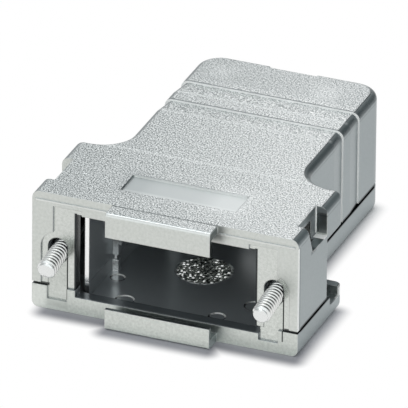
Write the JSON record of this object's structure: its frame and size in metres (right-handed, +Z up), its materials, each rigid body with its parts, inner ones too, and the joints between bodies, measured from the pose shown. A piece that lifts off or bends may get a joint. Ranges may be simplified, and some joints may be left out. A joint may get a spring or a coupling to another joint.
{
  "type": "d-sub hood",
  "caption": "Two-part metal connector hood with a wide front, narrow cable end, hooked tabs, label recess and captive jackscrews.",
  "frame": {"origin": "on the ground, below the middle of the connector face", "axes": "+X to the hood's right seen from the connector end, +Y from the connector face to the cable end, +Z up through the upper shell"},
  "size_m": [0.041, 0.0553, 0.0187],
  "materials": {
    "plated_upper": "satin nickel plating over a grained die casting",
    "plated_lower": "satin nickel plating over a die casting",
    "screw_plating": "bright nickel plating",
    "strap_steel": "pressed steel strip"
  },
  "bodies": {
    "hood": {"upper_shell": "plated_upper", "lower_shell": "plated_lower", "cable_clamp": "strap_steel", "clamp_screws": "screw_plating", "closing_screws": "screw_plating"},
    "left_jackscrew": {"jackscrew_left": "screw_plating"},
    "right_jackscrew": {"jackscrew_right": "screw_plating"}
  },
  "joints": [
    {"name": "left_jackscrew_turn", "type": "hinge", "parent": "hood", "child": "left_jackscrew", "pos_m": [-0.01665, 0, 0.0089], "axis": [0, 0.9925, 0.1219], "continuous": true},
    {"name": "right_jackscrew_turn", "type": "hinge", "parent": "hood", "child": "right_jackscrew", "pos_m": [0.01665, 0, 0.0089], "axis": [0, 0.9925, 0.1219], "continuous": true}
  ]
}
